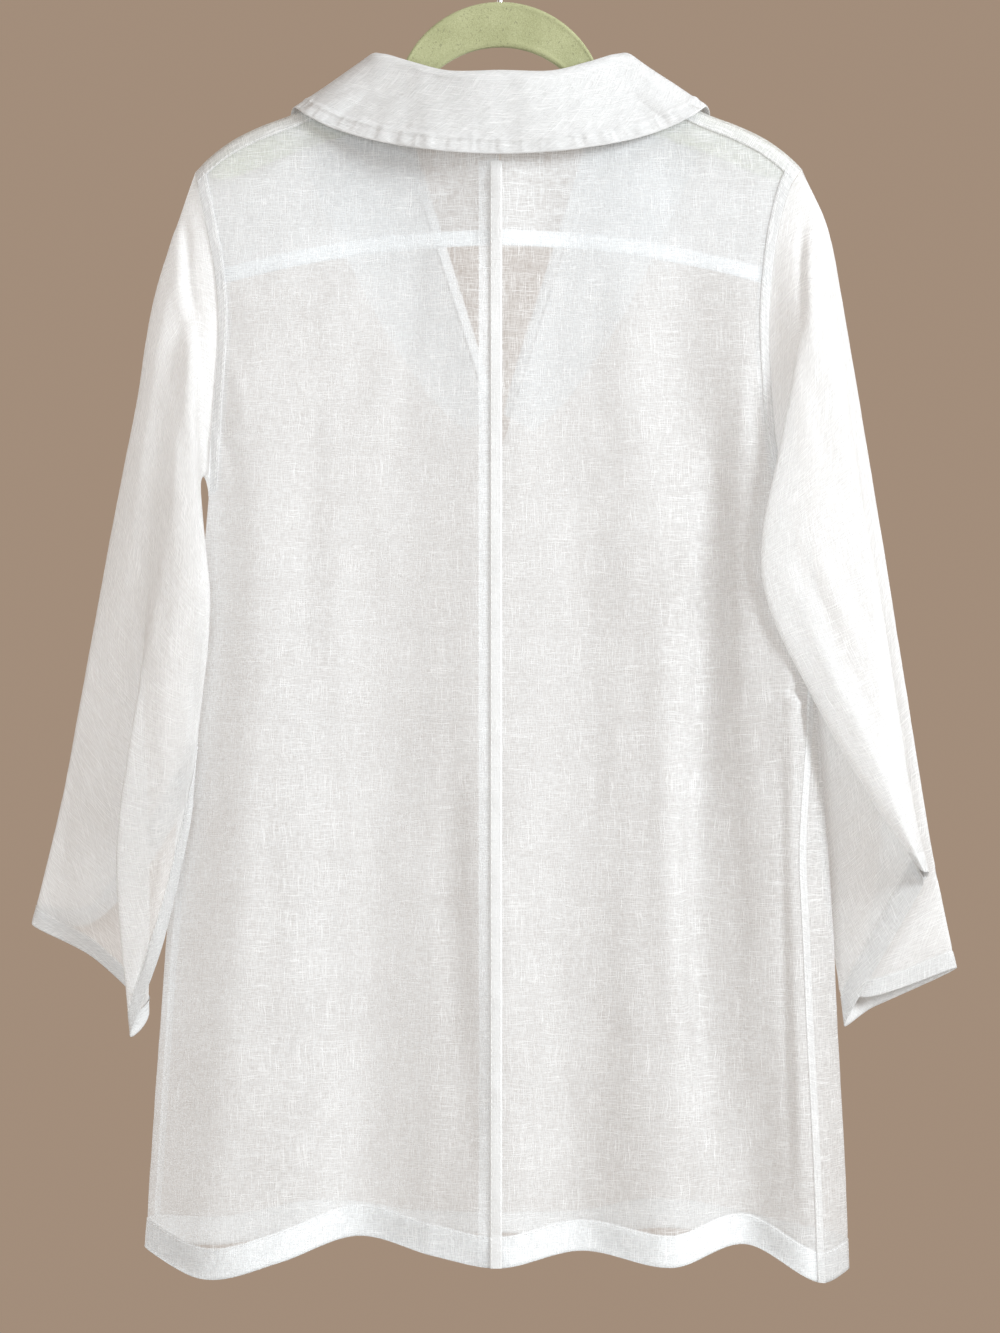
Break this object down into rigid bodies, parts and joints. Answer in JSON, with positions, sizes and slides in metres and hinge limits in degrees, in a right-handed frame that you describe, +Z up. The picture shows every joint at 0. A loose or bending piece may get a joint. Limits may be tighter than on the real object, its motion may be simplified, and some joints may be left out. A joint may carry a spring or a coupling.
{
  "type": "tunic jacket on a hanger",
  "caption": "White linen tunic jacket with a wide turned-down collar, felled seams and long sleeves, hanging on a flat flocked hanger with a wire hook.",
  "frame": {"origin": "underside of the hook's crown, where a rail or peg carries the hanger", "axes": "+Z up; the jacket's back faces -Y, its front +Y; -X is the left of the back view"},
  "size_m": [0.6513, 0.1175, 0.9549],
  "materials": {
    "linen": "thin slubby linen, one layer",
    "linen_double": "the same linen in two or more layers",
    "flock": "sage green flocked",
    "wire": "bright bent wire"
  },
  "bodies": {
    "root": {"back_left": "linen", "back_right": "linen", "front_left": "linen", "front_right": "linen", "sleeve_left": "linen", "sleeve_right": "linen", "collar": "linen_double", "back_facing_left": "linen_double", "back_facing_right": "linen_double", "centre_back_seam": "linen_double", "shoulder_seam_left": "linen_double", "shoulder_seam_right": "linen_double", "side_seam_left": "linen_double", "side_seam_right": "linen_double", "armhole_seam_back_left": "linen_double", "armhole_seam_back_right": "linen_double", "armhole_seam_front_left": "linen_double", "armhole_seam_front_right": "linen_double", "hanger": "flock", "hook": "wire"}
  },
  "joints": []
}
